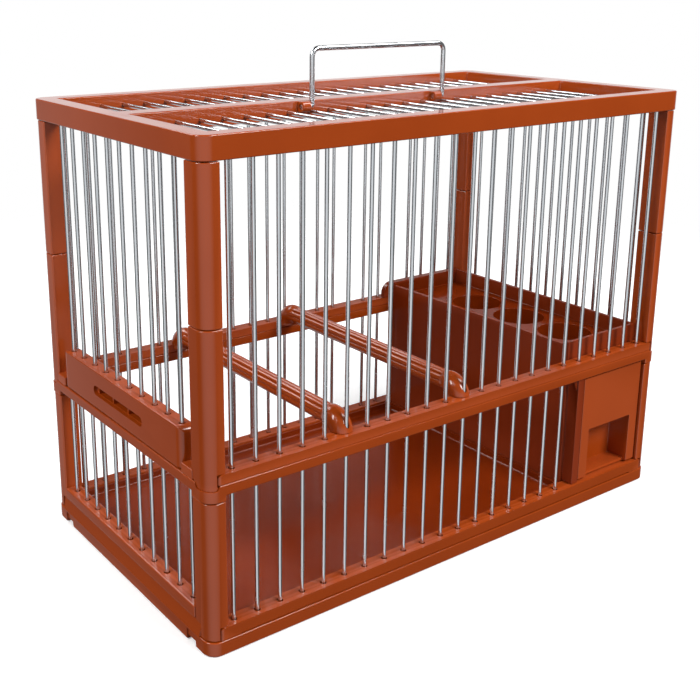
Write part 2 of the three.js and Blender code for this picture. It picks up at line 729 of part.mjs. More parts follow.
// ---------------------------------------------------------------- drawer under the seed wells
function feederDrawer() {
  const w = drawerWall;
  const face = -(halfDepth - drawerInset);
  const inside = face + drawerFrontThickness;
  const back = face + drawerLength;
  const bottom = bayFloorZ + seam;
  const panelX = [jambRight + drawerGap, postInnerX - drawerGap];
  const bodyX = [jambRight + drawerGap, feederRight - housingWall - drawerSide];
  const pullX = [panelX[0] + pullLeg, panelX[1] - pullLeg];
  const pullTop = bayFloorZ + drawerGap + pullHeight;
  const panel = box(panelX, [face, inside], [bayFloorZ + drawerGap, bayTop - drawerGap]);
  const body = box(bodyX, [inside - 1, back], [bottom, bottom + drawerHeight]);
  const hollow = box([bodyX[0] + w, bodyX[1] - w], [inside, back - w], [bottom + w, bottom + drawerHeight + 1]);
  const pocketShell = box([pullX[0] - w, pullX[1] + w], [inside - 1, inside + pullDepth + w], [bottom, pullTop + w]);
  const pocket = box(pullX, [inside - 2, inside + pullDepth], [bottom + w, pullTop]);
  const notch = box(pullX, [face - 1, inside + 0.01], [bottom + w, pullTop]);
  const foot = box(pullX, [face - 1, inside], [bottom - 1, bottom + w + 1]);
  return cut(join([body.subtract(hollow), panel, pocketShell]), [pocket, notch, foot]);
}

// ---------------------------------------------------------------- perches
function flutedShape() {
  const shape = new THREE.Shape();
  const steps = fluteCount * 4;
  for (let i = 0; i < steps; i += 1) {
    const angle = 2 * Math.PI * i / steps;
    const r = perchRadius - fluteDepth * (1 - Math.abs(Math.sin(fluteCount * angle / 2)));
    if (i === 0) shape.moveTo(r * Math.cos(angle), r * Math.sin(angle));
    else shape.lineTo(r * Math.cos(angle), r * Math.sin(angle));
  }
  return shape;
}

function perch(wire) {
  const x = wiresX[wire];
  const z = upperRailTop + perchRise;
  const saddleY = halfDepth - saddleInset;
  const parts = [];
  const tools = [];
  const rod = prismAlongY(flutedShape(), -saddleY, saddleY);
  const rodMatrix = rod.translate([x, 0, z]);
  parts.push(rodMatrix);
  for (const s of [-1, 1]) {
    const y = s * saddleY;
    const dome = new THREE.SphereGeometry(saddleRadius, saddleSides, saddleSides / 2);
    dome.translate(x, y, z);
    parts.push(solidOf(dome));
    parts.push(cone(x, y, upperRailTop - saddleHook, z, saddleRadius, saddleRadius, saddleSides));
    tools.push(box(
      [x - saddleRadius - 1, x + saddleRadius + 1],
      [s * (railInnerY - seam), s * halfDepth],
      [upperRailTop - saddleHook - 1, upperRailTop + seam],
    ));
    tools.push(box(
      [x - saddleSlot / 2, x + saddleSlot / 2],
      [s * (halfDepth - wireInset - wireRadius - 0.5), s * halfDepth],
      [upperRailTop - saddleHook - 1, z + saddleRadius + 1],
    ));
  }
  return cut(join(parts), tools);
}

// ---------------------------------------------------------------- assembly
add('base_frame', baseFrame(), plastic);
add('litter_tray', litterTray(), darkPlastic);
for (const [sx, sy] of corners) {
  const corner = cornerName[`${sx},${sy}`];
  add(`lower_post_${corner}`, lowerPost(sx, sy), plastic);
  add(`upper_post_foot_${corner}`, upperPostFoot(sx, sy), plastic);
  add(`upper_post_head_${corner}`, upperPostHead(sx, sy), plastic);
}
add('lower_rail_front', lowerRail('X', wiresX.filter((x) => x < feederLeft - wireMargin), 'lap'), plastic);
add('lower_rail_right', lowerRail('Y', wiresY, 'tongue'), plastic, quarter);
add('lower_rail_back', lowerRail('X', wiresX, 'lap'), plastic, 2 * quarter);
add('lower_rail_left', endRail(), plastic, -quarter);
add('middle_ring', middleRing(), plastic);
add('upper_rail_front', upperRail('X', wiresX, 'tongue'), plastic);
add('upper_rail_right', upperRail('Y', wiresY, 'tongue'), plastic, quarter);
add('upper_rail_back', upperRail('X', wiresX, 'tongue'), plastic, 2 * quarter);
add('end_door', endDoor(), plastic, -quarter);
add('top_ring', topRing(), plastic);
add('carry_handle', handle(), steel);
perchWires.forEach((wire, i) => add(`perch_${i === 0 ? 'left' : 'right'}`, perch(wire), plastic));
add('feeder_housing', feederHousing(), darkPlastic);
add('feeder_drawer', feederDrawer(), plastic);

export default cage;
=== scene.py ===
"""Canary breeding cage: moulded storeys, wire walls, end door, tray, feeder, perches and handle.

Sizes are in millimetres in the frame of the CAD model and are scaled to metres when a mesh is made.
The cage is as long as X, its drawer faces -Y, its door and its tray open towards -X.
"""

import math

import bmesh
import bpy
from mathutils import Matrix, Vector


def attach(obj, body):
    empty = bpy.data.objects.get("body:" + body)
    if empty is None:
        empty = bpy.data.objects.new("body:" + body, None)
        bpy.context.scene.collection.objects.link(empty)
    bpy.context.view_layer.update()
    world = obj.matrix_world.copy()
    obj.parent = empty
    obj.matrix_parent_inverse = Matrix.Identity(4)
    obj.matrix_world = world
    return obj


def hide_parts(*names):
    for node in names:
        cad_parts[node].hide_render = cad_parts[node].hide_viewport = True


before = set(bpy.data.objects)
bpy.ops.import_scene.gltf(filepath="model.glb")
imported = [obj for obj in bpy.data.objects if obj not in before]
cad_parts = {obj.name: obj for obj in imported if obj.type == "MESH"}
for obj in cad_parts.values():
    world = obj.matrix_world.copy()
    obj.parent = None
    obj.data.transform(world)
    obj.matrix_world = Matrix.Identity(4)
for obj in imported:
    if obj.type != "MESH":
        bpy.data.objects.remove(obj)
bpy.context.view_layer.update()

MM = 0.001

# ---------------------------------------------------------------- driving sizes, as in the CAD model
HALF_L, HALF_D = 152.5, 82.5
CORNER, CORNER_STEPS = 6.5, 10
SEAM = 0.3
BASE_H = 7.0
RAIL_W = 8.0
LOWER_RAIL = (7.3, 13.5)
END_RAIL = (14.2, 20.4)
MIDDLE = (77.0, 82.2)
UPPER_RAIL = (82.5, 87.0)
RING = (220.5, 231.0)
RING_W = 10.0
BAR_HALF, BAR_RISE = 6.0, 1.5
POST_W, POST_D = 10.0, 13.0
POST_INSET = 0.5
POST_SEAM = 151.5
POST_X, POST_Y = HALF_L - POST_W, HALF_D - POST_D
INNER_X, INNER_Y = HALF_L - RAIL_W, HALF_D - RAIL_W
SPAN_X, SPAN_Y = POST_X - SEAM, POST_Y - SEAM
COLLAR = 2.7

PITCH = 12.5
WIRE_R, WIRE_SIDES = 1.0, 18
WIRE_IN = 4.0
ROOF_WIRE_Z = 225.5

DOOR_Z = (83.2, 102.7)
DOOR_HALF = 60.9
# thickness of the tray's front band
BAND_T = 3.4
FEED_L, FEED_R = 84.0, 142.0
FEED_Y = 73.9
FEED_TOP = 97.0
BAY = (13.8, 76.7)

# quarter turns that carry the front wall to each side
FRONT, RIGHT, BACK, LEFT = 0, 1, 2, 3
CORNER_NAME = {
    (-1, -1): "front_left",
    (1, -1): "front_right",
    (-1, 1): "back_left",
    (1, 1): "back_right",
}

# how far a cutting tool runs past a face, or a joined piece into its neighbour
OVER = 1.0

# how far the edges of each moulding are rounded
RAIL_EDGE = 0.85
FRAME_EDGE = 0.6
POST_EDGE = 0.55
DOOR_EDGE = 0.5
FEEDER_EDGE = 0.45
STUB_EDGE = 0.4
TRAY_EDGE = 0.35
SMALL_EDGE = 0.3
SLOT_EDGE = 0.2

# edges sharper than these angles are rounded, or shaded as sharp; flatter ones than FLAT are dissolved
ROUNDED_FROM = math.radians(30)
SHARP_FROM = math.radians(36)
FLAT = math.radians(0.5)


# ---------------------------------------------------------------- mesh helpers
def rounded_rect(x0, x1, y0, y1, radii, steps):
    """Outline of a rectangle; its corners, from low-low round to low-high, have their own radii."""
    x0, x1 = sorted((x0, x1))
    y0, y1 = sorted((y0, y1))
    corners = ((x0, y0, 1, 1), (x1, y0, -1, 1), (x1, y1, -1, -1), (x0, y1, 1, -1))
    points = []
    for i, ((x, y, dx, dy), r) in enumerate(zip(corners, radii)):
        count = steps if r > 0 else 0
        for j in range(count + 1):
            a = math.pi + (i + (j / count if count else 0)) * math.pi / 2
            points.append((x + dx * r + r * math.cos(a), y + dy * r + r * math.sin(a)))
    return points


def arc(centre, radius, sweep, steps):
    """Points of an arc that starts straight above its centre and turns towards the low side."""
    angles = [math.pi / 2 + i * sweep / steps for i in range(steps + 1)]
    return [(centre[0] + radius * math.cos(a), centre[1] + radius * math.sin(a)) for a in angles]


def footprint():
    """Outline of the base frame and of both rings."""
    return rounded_rect(-HALF_L, HALF_L, -HALF_D, HALF_D, [CORNER] * 4, CORNER_STEPS)


def prism(points, lo, hi, axis="z"):
    """Closed mesh of an outline carried along an axis; outlines lie in XY, XZ or YZ."""
    at = {
        "z": lambda p, t: (p[0], p[1], t),
        "y": lambda p, t: (p[0], t, p[1]),
        "x": lambda p, t: (t, p[0], p[1]),
    }[axis]
    bm = bmesh.new()
    ends = [[bm.verts.new(at(p, t)) for p in points] for t in (lo, hi)]
    count = len(points)
    bm.faces.new(list(reversed(ends[0])))
    bm.faces.new(ends[1])
    for i in range(count):
        j = (i + 1) % count
        bm.faces.new((ends[0][i], ends[0][j], ends[1][j], ends[1][i]))
    bmesh.ops.recalc_face_normals(bm, faces=bm.faces)
    return bm


def box(x, y, z):
    corners = [(min(x), min(y)), (max(x), min(y)), (max(x), max(y)), (min(x), max(y))]
    return prism(corners, min(z), max(z))


def rod(a, b, radius, sides, tip=None):
    """Round bar between two points, with a second radius at its far end for a cone."""
    a, b = Vector(a), Vector(b)
    turn = (b - a).to_track_quat("Z", "Y").to_matrix().to_4x4()
    bm = bmesh.new()
    bmesh.ops.create_cone(
        bm, cap_ends=True, segments=sides, radius1=radius, radius2=radius if tip is None else tip,
        depth=(b - a).length, matrix=Matrix.Translation((a + b) / 2) @ turn,
    )
    return bm


def skin(bm, rings):
    """Faces between rings of corners, each with as many as the last, and a face over each end."""
    for near, far in zip(rings, rings[1:]):
        for k in range(len(near)):
            j = (k + 1) % len(near)
            bm.faces.new((near[k], near[j], far[j], far[k]))
    bm.faces.new(list(reversed(rings[0])))
    bm.faces.new(rings[-1])
    bmesh.ops.recalc_face_normals(bm, faces=bm.faces)
    return bm


def circle(sides):
    return [2 * math.pi * k / sides for k in range(sides)]


def lathe(profile, centre, sides=20):
    """Closed solid turned about a vertical axis from (radius, height) pairs, lowest first."""
    bm = bmesh.new()
    x, y, z = centre
    rings = []
    for r, h in profile:
        rings.append([bm.verts.new((x + r * math.cos(a), y + r * math.sin(a), z + h)) for a in circle(sides)])
    return skin(bm, rings)


def soften(bm, width, segments=3):
    """Rounds every edge that is sharper than ROUNDED_FROM."""
    bmesh.ops.dissolve_limit(bm, angle_limit=FLAT, verts=bm.verts, edges=bm.edges)
    sharp = [e for e in bm.edges if e.is_manifold and abs(e.calc_face_angle(0)) > ROUNDED_FROM]
    bmesh.ops.bevel(
        bm, geom=sharp, offset=width, offset_type="OFFSET", segments=segments, profile=0.5,
        affect="EDGES", clamp_overlap=True,
    )
    return bm


def to_object(bm, name="scratch"):
    mesh = bpy.data.meshes.new(name)
    bm.to_mesh(mesh)
    bm.free()
    obj = bpy.data.objects.new(name, mesh)
    bpy.context.collection.objects.link(obj)
    return obj


def merged(parts):
    """One bmesh that holds several, side by side."""
    out = bmesh.new()
    for part in parts:
        mesh = bpy.data.meshes.new("scratch")
        part.to_mesh(mesh)
        part.free()
        out.from_mesh(mesh)
        bpy.data.meshes.remove(mesh)
    return out


def combine(bm, others, operation, overlapping=True):
    """Exact boolean of a bmesh with others; overlapping is for others that may meet each other."""
    target = to_object(bm)
    tool = to_object(merged(others))
    modifier = target.modifiers.new("combine", "BOOLEAN")
    modifier.operation = operation
    modifier.solver = "EXACT"
    modifier.use_self = overlapping
    modifier.object = tool
    bpy.context.view_layer.update()
    made = target.evaluated_get(bpy.context.evaluated_depsgraph_get()).to_mesh()
    out = bmesh.new()
    out.from_mesh(made)
    for obj in (target, tool):
        mesh = obj.data
        bpy.data.objects.remove(obj)
        bpy.data.meshes.remove(mesh)
    return out


def carve(bm, others, overlapping=True):
    return combine(bm, others, "DIFFERENCE", overlapping)


def join(bm, others):
    return combine(bm, others, "UNION")


def common(bm, others):
    for other in others:
        bm = combine(bm, [other], "INTERSECT")
    return bm


def spun(bm, turns):
    """Turns a bmesh by quarter turns about Z."""
    if turns:
        quarter = Matrix.Rotation(turns * math.pi / 2, 3, "Z")
        bmesh.ops.rotate(bm, cent=(0, 0, 0), matrix=quarter, verts=bm.verts)
    return bm


def place(name, bm, body, material, nodes=()):
    """Makes the finished piece: metres, smooth shading with flat sides kept flat, body, material, nodes."""
    bmesh.ops.scale(bm, vec=(MM, MM, MM), verts=bm.verts)
    bmesh.ops.recalc_face_normals(bm, faces=bm.faces)
    for face in bm.faces:
        face.smooth = True
    obj = to_object(bm, name)
    obj.data.set_sharp_from_angle(angle=SHARP_FROM)
    weighted = obj.modifiers.new("faces_flat", "WEIGHTED_NORMAL")
    weighted.keep_sharp = True
    obj.data.materials.append(material)
    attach(obj, body)
    if nodes:
        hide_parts(*nodes)
    return obj


# ---------------------------------------------------------------- materials
def node_tree(name):
    material = bpy.data.materials.new(name)
    material.use_nodes = True
    tree = material.node_tree
    shader = tree.nodes["Principled BSDF"]
    coords = tree.nodes.new("ShaderNodeTexCoord")
    return material, tree, shader, coords.outputs["Object"]


def noise(tree, vector, scale, detail, stretch=(1, 1, 1)):
    mapping = tree.nodes.new("ShaderNodeMapping")
    mapping.inputs["Scale"].default_value = stretch
    tree.links.new(vector, mapping.inputs["Vector"])
    texture = tree.nodes.new("ShaderNodeTexNoise")
    texture.inputs["Scale"].default_value = scale
    texture.inputs["Detail"].default_value = detail
    tree.links.new(mapping.outputs["Vector"], texture.inputs["Vector"])
    return texture.outputs["Fac"]


def ramp(tree, value, stops):
    node = tree.nodes.new("ShaderNodeValToRGB")
    elements = node.color_ramp.elements
    for element, (at, colour) in zip(elements, stops[:2]):
        element.position, element.color = at, colour
    for at, colour in stops[2:]:
        elements.new(at).color = colour
    tree.links.new(value, node.inputs["Fac"])
    return node.outputs["Color"]


def blend(tree, factor, first, second):
    """Mix of two colours, each a socket or a plain colour."""
    mix = tree.nodes.new("ShaderNodeMix")
    mix.data_type = "RGBA"
    tree.links.new(factor, mix.inputs["Factor"])
    for name, colour in (("A", first), ("B", second)):
        if isinstance(colour, bpy.types.NodeSocket):
            tree.links.new(colour, mix.inputs[name])
        else:
            mix.inputs[name].default_value = (*colour, 1)
    return mix.outputs["Result"]


def grey(value):
    return (value, value, value, 1)


def bump(tree, shader, height, strength, distance):
    node = tree.nodes.new("ShaderNodeBump")
    node.inputs["Strength"].default_value = strength
    node.inputs["Distance"].default_value = distance
    tree.links.new(height, node.inputs["Height"])
    tree.links.new(node.outputs["Normal"], shader.inputs["Normal"])


CLOUD_SCALE, SATIN_SCALE, RIPPLE_SCALE = 18, 45, 28
RIPPLE_DEPTH = 0.0006
SMOOTHER, DULLER = 0.03, 0.05
WORN_EDGES, WEAR = (0.52, 0.62), 0.35
WEAR_GAIN, WEAR_LIFT = 1.5, 0.02
PLASTIC_IOR = 1.5


def edge_wear(tree, colour, worn):
    """Convex edges rubbed a little lighter than the faces beside them."""
    geometry = tree.nodes.new("ShaderNodeNewGeometry")
    start, full = WORN_EDGES
    mask = ramp(tree, geometry.outputs["Pointiness"], [(start, grey(0)), (full, grey(WEAR))])
    return blend(tree, mask, colour, worn)


def moulded_plastic(name, dark, light, rough, ripple, gloss):
    """Glossy moulded plastic: slight clouding of the pigment, satin patches, faint flow ripples."""
    material, tree, shader, where = node_tree(name)
    clouds = noise(tree, where, CLOUD_SCALE, detail=4)
    colour = ramp(tree, clouds, [(0.3, (*dark, 1)), (0.7, (*light, 1))])
    worn = [min(1.0, c * WEAR_GAIN + WEAR_LIFT) for c in light]
    tree.links.new(edge_wear(tree, colour, worn), shader.inputs["Base Color"])
    satin = noise(tree, where, SATIN_SCALE, detail=3)
    spread = [(0.3, grey(rough - SMOOTHER)), (0.7, grey(rough + DULLER))]
    tree.links.new(ramp(tree, satin, spread), shader.inputs["Roughness"])
    shader.inputs["IOR"].default_value = PLASTIC_IOR
    shader.inputs["Specular IOR Level"].default_value = gloss
    bump(tree, shader, noise(tree, where, RIPPLE_SCALE, detail=1.5), ripple, RIPPLE_DEPTH)
    return material


def bright_front(material, colour, start, end):
    """Gives the tray's front the colour of the rails; behind it the tray keeps its darker colour, which is
    painted shade.
    """
    tree = material.node_tree
    base = tree.nodes["Principled BSDF"].inputs["Base Color"]
    painted_shade_colour = base.links[0].from_socket
    coords = tree.nodes.new("ShaderNodeTexCoord")
    parts = tree.nodes.new("ShaderNodeSeparateXYZ")
    tree.links.new(coords.outputs["Object"], parts.inputs[0])
    behind = tree.nodes.new("ShaderNodeMapRange")
    behind.inputs["From Min"].default_value = start * MM
    behind.inputs["From Max"].default_value = end * MM
    tree.links.new(parts.outputs["X"], behind.inputs["Value"])
    tree.links.new(blend(tree, behind.outputs["Result"], colour, painted_shade_colour), base)


STREAK_SCALE, DULL_SCALE = 2600, 70
STEEL_DARK, STEEL_LIGHT = (0.56, 0.59, 0.62, 1), (0.72, 0.74, 0.76, 1)
STEEL_SMOOTH, STEEL_DULL = 0.17, 0.30
STREAK_BUMP, STREAK_DEPTH = 0.06, 0.00001


def drawn_steel(name, stretch):
    """Bright wire with fine lines drawn along it and a little dullness here and there."""
    material, tree, shader, where = node_tree(name)
    streaks = noise(tree, where, STREAK_SCALE, detail=2, stretch=stretch)
    tone = [(0.3, STEEL_DARK), (0.7, STEEL_LIGHT)]
    tree.links.new(ramp(tree, streaks, tone), shader.inputs["Base Color"])
    dull = noise(tree, where, DULL_SCALE, detail=3)
    spread = [(0.3, grey(STEEL_SMOOTH)), (0.75, grey(STEEL_DULL))]
    tree.links.new(ramp(tree, dull, spread), shader.inputs["Roughness"])
    shader.inputs["Metallic"].default_value = 1.0
    bump(tree, shader, streaks, STREAK_BUMP, STREAK_DEPTH)
    return material


BROWN = moulded_plastic(
    "brown_plastic", dark=(0.285, 0.040, 0.0030), light=(0.325, 0.048, 0.0045),
    rough=0.12, ripple=0.03, gloss=0.5,
)
# darker copy of the brown plastic: painted shade, used for the whole feeder housing
BROWN_PAINTED_SHADE = moulded_plastic(
    "brown_plastic_inner", dark=(0.158, 0.0172, 0.0012), light=(0.194, 0.0222, 0.0018),
    rough=0.12, ripple=0.08, gloss=0.28,
)
# darker copy of the brown plastic: painted shade for the tray inside the cage
BROWN_TRAY_PAINTED_SHADE = moulded_plastic(
    "brown_plastic_tray_painted_shade", dark=(0.165, 0.0175, 0.0014), light=(0.200, 0.0230, 0.0021),
    rough=0.18, ripple=0.14, gloss=0.3,
)
# the tray's front band has the plastic's own colour; towards BAND_FADE it fades into the tray's painted shade
BAND_BROWN, BAND_FADE = (0.305, 0.044, 0.0038), 9.0
bright_front(BROWN_TRAY_PAINTED_SHADE, BAND_BROWN, -HALF_L + BAND_T, -HALF_L + BAND_FADE)
STEEL_UP = drawn_steel("steel_upright", (1, 1, 0.02))
STEEL_ROOF = drawn_steel("steel_roof", (1, 0.02, 1))
STEEL_HANDLE = drawn_steel("steel_handle", (0.6, 1, 0.6))

# ---------------------------------------------------------------- places of the wires
WIRE_MARGIN, ROOF_MARGIN = 3.5, 9.0
SOCKET_R, SOCKET_DEPTH = 1.42, 2.2
RIM_R, RIM_DEPTH = 1.6, 0.18
WIRE_FOOT = 2.1
WIRE_LEAD = 2.0


def pitched(span):
    gaps = int(span // PITCH)
    return [(i - gaps / 2) * PITCH for i in range(gaps + 1)]


WIRES_X = pitched(2 * (POST_X - WIRE_MARGIN))
WIRES_Y = pitched(2 * (POST_Y - WIRE_MARGIN))
WIRES_DOOR = pitched(2 * (DOOR_HALF - WIRE_MARGIN))
WIRES_ROOF = pitched(2 * (HALF_L - RING_W - ROOF_MARGIN))


def wire_wall(name, places, axis_y, z0, z1, turns, body):
    """Upright wires of one wall, drawn as the front one and turned to its side."""
    wires = []
    for x in places:
        wires.append(spun(rod((x, axis_y, z0), (x, axis_y, z1), WIRE_R, WIRE_SIDES), turns))
    place(name, merged(wires), body, STEEL_UP)


def socket(x, y, z):
    """Clearance hole round a wire where it enters a rail, its rim a little broken."""
    profile = [(SOCKET_R, -SOCKET_DEPTH), (SOCKET_R, -RIM_DEPTH), (RIM_R, 0.0), (RIM_R, OVER / 2)]
    return lathe(profile, (x, y, z))


# ---------------------------------------------------------------- rails
LAP_LENGTH, LAP_DEPTH = 4.0, 2.6
LAP_TURN, LAP_CROWN = 1.6, 2.2
RELIEF, RELIEF_FROM = 0.6, 6.0


def rail(name, outer, half, z, places, wire_top, turns, lap=False, relief=0.0):
    """Rail of one wall with its sockets and wires; lap carries its thin ends over the posts' fronts."""
    y0, y1 = -outer, -outer + RAIL_W
    if lap:
        tip, lip = half + SEAM + LAP_LENGTH, y0 + LAP_DEPTH
        turned = rounded_rect(-tip, tip, y0, lip, (LAP_TURN, LAP_TURN, 0, 0), steps=5)
        outline = [p for p in turned if p[1] < lip]
        outline += [(tip, lip), (half, lip), (half, y1), (-half, y1), (-half, lip), (-tip, lip)]
        crowned = rounded_rect(-tip, tip, *z, (0, 0, LAP_CROWN, LAP_CROWN), steps=6)
        bm = common(prism(outline, *z), [prism(crowned, y0 - OVER, y1 + OVER, "y")])
    else:
        bm = prism([(-half, y0), (half, y0), (half, y1), (-half, y1)], *z)
    bm = soften(bm, RAIL_EDGE)
    tools = [socket(x, y0 + WIRE_IN, z[1]) for x in places]
    if relief:
        across = (-half + RELIEF_FROM, half - RELIEF_FROM)
        tools.append(box(across, (y0 - OVER, y1 + OVER), (z[0] - OVER, z[0] + relief)))
    bm = carve(bm, tools, overlapping=False)
    level, side = name.split("_")
    place(name, spun(bm, turns), "cage", BROWN, [f"{level}_rail_{side}"])
    wire_wall("wires_" + name, places, y0 + WIRE_IN, z[1] - WIRE_FOOT, wire_top, turns, "cage")


lower_top, upper_top = MIDDLE[0] + WIRE_LEAD, RING[0] + WIRE_LEAD
before_drawer = [x for x in WIRES_X if x < FEED_L - WIRE_MARGIN]
rail("lower_front", HALF_D, SPAN_X, LOWER_RAIL, before_drawer, lower_top, FRONT, lap=True, relief=RELIEF)
rail("lower_back", HALF_D, SPAN_X, LOWER_RAIL, WIRES_X, lower_top, BACK, lap=True, relief=RELIEF)
rail("lower_right", HALF_L, SPAN_Y, LOWER_RAIL, WIRES_Y, lower_top, RIGHT, relief=RELIEF)
rail("lower_left", HALF_L, SPAN_Y, END_RAIL, WIRES_Y, lower_top, LEFT)
rail("upper_front", HALF_D, SPAN_X, UPPER_RAIL, WIRES_X, upper_top, FRONT, lap=True)
rail("upper_back", HALF_D, SPAN_X, UPPER_RAIL, WIRES_X, upper_top, BACK, lap=True)
rail("upper_right", HALF_L, SPAN_Y, UPPER_RAIL, WIRES_Y, upper_top, RIGHT)


# ---------------------------------------------------------------- posts
DIP, DIP_IN, DIP_SLOPE, DIP_STEPS = 2.3, 2.4, 2.4, 10
PLUG_LAP = 0.8
PASSAGE_GAP = 0.2


def post_outline(sx, sy, inset=POST_INSET):
    """Plan of the post in one corner, rounded on its outer corner only."""
    radii = [CORNER - inset if c == (sx, sy) else 0.0 for c in ((-1, -1), (1, -1), (1, 1), (-1, 1))]
    x, y = sx * (HALF_L - inset), sy * (HALF_D - inset)
    return rounded_rect(x, sx * POST_X, y, sy * POST_Y, radii, CORNER_STEPS)


def dip(sx, sy, z0, z1, inset, shrink):
    """Hollow on top of a corner of the middle ring, or the plug that fills it, with S-shaped flanks."""
    def flank(painted_shade_colour, outer, sign):
        start = painted_shade_colour + DIP_IN + shrink
        points = []
        for i in range(DIP_STEPS + 1):
            t = i / DIP_STEPS
            rise = (UPPER_RAIL[0] - z0) * (3 * t * t - 2 * t ** 3)
            points.append((start + DIP_SLOPE * (1 - t), z0 + rise))
        points += [(start, z1), (outer, z1), (outer, z0)]
        return [(sign * across, z) for across, z in points]

    along_y, along_x = HALF_D + 3 * OVER, HALF_L + 3 * OVER
    across_x = prism(flank(POST_X, HALF_L + 2 * OVER, sx), -along_y, along_y, "y")
    across_y = prism(flank(POST_Y, HALF_D + 2 * OVER, sy), -along_x, along_x, "x")
    return common(prism(post_outline(sx, sy, inset), z0, z1), [across_x, across_y])


def lap_recess(sx, sy, z0, z1):
    """Room in a post for the lapped end of the rail beside it."""
    x = (sx * (POST_X - OVER), sx * (POST_X + LAP_LENGTH + SEAM))
    y = (sy * (HALF_D + OVER), sy * (HALF_D - LAP_DEPTH - SEAM))
    return box(x, y, (z0, z1 + SEAM))


def tray_passage(sx, sy):
    """Room in a left post for the tray and for the rail above it."""
    x = (sx * (HALF_L + OVER), sx * (POST_X - OVER))
    y = (sy * (INNER_Y - PASSAGE_GAP), sy * (POST_Y - OVER))
    return box(x, y, (BASE_H - OVER, END_RAIL[0] - SEAM))


def rail_block(sx, sy):
    """Corner block that ends the upper rail's level beside the door."""
    x = (sx * HALF_L, sx * INNER_X)
    y = (sy * (POST_Y + OVER), sy * (DOOR_HALF + SEAM))
    return soften(box(x, y, UPPER_RAIL), STUB_EDGE)


def post_piece(name, bm):
    place(name + "_shell", bm, "cage", BROWN, [name])


for (sx, sy), at in CORNER_NAME.items():
    lower = soften(prism(post_outline(sx, sy), LOWER_RAIL[0], MIDDLE[0] - COLLAR - SEAM), FRAME_EDGE)
    tools = [tray_passage(sx, sy)] if sx < 0 else []
    tools.append(lap_recess(sx, sy, BASE_H - OVER, LOWER_RAIL[1]))
    post_piece("lower_post_" + at, carve(lower, tools))

    foot = soften(prism(post_outline(sx, sy), UPPER_RAIL[0], POST_SEAM - SEAM / 2), POST_EDGE)
    parts = [dip(sx, sy, MIDDLE[1] - DIP + SEAM, UPPER_RAIL[0] + PLUG_LAP, POST_INSET, SEAM)]
    if sx < 0:
        parts.append(rail_block(sx, sy))
    recess = lap_recess(sx, sy, UPPER_RAIL[0] - OVER, UPPER_RAIL[1])
    post_piece("upper_post_foot_" + at, carve(join(foot, parts), [recess]))

    head = soften(prism(post_outline(sx, sy), POST_SEAM + SEAM / 2, RING[0] - SEAM), POST_EDGE)
    post_piece("upper_post_head_" + at, head)

# ---------------------------------------------------------------- base frame
BASE_RIM = 13.0
BASE_BARS_X, BASE_BAR_HALF = (-27.75, 84.0), 5.0
WINDOW_CORNER = 3.0
NOTCH_FROM, NOTCH_TO = 12.5, 20.5
NOTCH_LONG, NOTCH_HIGH = 14.0, 2.0
STEP_DEEP, STEP_TOP = 0.8, 1.2


def base_frame():
    """Open frame on three windows, notched under the tray's front where fingers lift it."""
    x_end, y_end = HALF_L - BASE_RIM, HALF_D - BASE_RIM
    lows = [-x_end] + [x + BASE_BAR_HALF for x in BASE_BARS_X]
    highs = [x - BASE_BAR_HALF for x in BASE_BARS_X] + [x_end]
    windows = []
    for x0, x1 in zip(lows, highs):
        outline = rounded_rect(x0, x1, -y_end, y_end, [WINDOW_CORNER] * 4, steps=6)
        windows.append(prism(outline, -OVER, BASE_H + OVER))
    bm = soften(carve(prism(footprint(), 0, BASE_H), windows), FRAME_EDGE)
    notches = []
    for s in (-1, 1):
        y = (s * (HALF_D - NOTCH_FROM), s * (HALF_D - NOTCH_TO))
        notches.append(box((-HALF_L - OVER, -HALF_L + NOTCH_LONG), y, (-OVER, NOTCH_HIGH)))
        notches.append(box((-HALF_L - OVER, -HALF_L + STEP_DEEP), y, (-OVER, BASE_H - STEP_TOP)))
    place("base", carve(bm, notches), "cage", BROWN, ["base_frame"])


base_frame()

# ---------------------------------------------------------------- middle ring
GROOVE_HALF = 1.6
MIDDLE_GROOVE, RING_GROOVE, DOOR_GROOVE = 2.6, 3.0, 8.5


def wire_grooves(z, depth, left_depth):
    """Grooves in the underside of a ring, into which the wires of the walls below it run."""
    cuts = []
    for s in (-1, 1):
        x, y = s * (HALF_L - WIRE_IN), s * (HALF_D - WIRE_IN)
        along_x, along_y = POST_X - OVER, POST_Y - OVER
        top = z + (left_depth if s < 0 else depth)
        cuts.append(box((-along_x, along_x), (y - GROOVE_HALF, y + GROOVE_HALF), (z - OVER, z + depth)))
        cuts.append(box((x - GROOVE_HALF, x + GROOVE_HALF), (-along_y, along_y), (z - OVER, top)))
    return cuts


def middle_ring():
    """Ring between the storeys, with a collar round each post below and a dip for each above."""
    collars = []
    for sx, sy in CORNER_NAME:
        collars.append(prism(post_outline(sx, sy, 0.0), MIDDLE[0] - COLLAR, MIDDLE[0] + OVER))
    bm = join(prism(footprint(), *MIDDLE), collars)
    inside = box((-INNER_X, INNER_X), (-INNER_Y, INNER_Y), (MIDDLE[0] - 4 * OVER, MIDDLE[1] + OVER))
    bm = soften(carve(bm, [inside]), FRAME_EDGE)
    dips = [dip(sx, sy, MIDDLE[1] - DIP, MIDDLE[1] + OVER, -OVER, 0.0) for sx, sy in CORNER_NAME]
    bm = carve(carve(bm, dips), wire_grooves(MIDDLE[0], MIDDLE_GROOVE, MIDDLE_GROOVE))
    place("middle", bm, "cage", BROWN, ["middle_ring"])


middle_ring()

# ---------------------------------------------------------------- top ring and roof wires
IN_X, IN_Y = HALF_L - RING_W, HALF_D - RING_W
PIVOT_Y, PIVOT_Z = -8.3, 228.3
HANDLE_R, HANDLE_TOP = 1.3, 256.3
LEG_X = (-43.75, 43.75)
LUG_R, LUG_W, LUG_GAP, LUG_STEPS = 2.6, 5.0, 0.5, 14
PIN_HOLE = 6.2
ROOF_HOLE_R, ROOF_REACH = 1.12, 1.2
HOLE_SIDES = 20


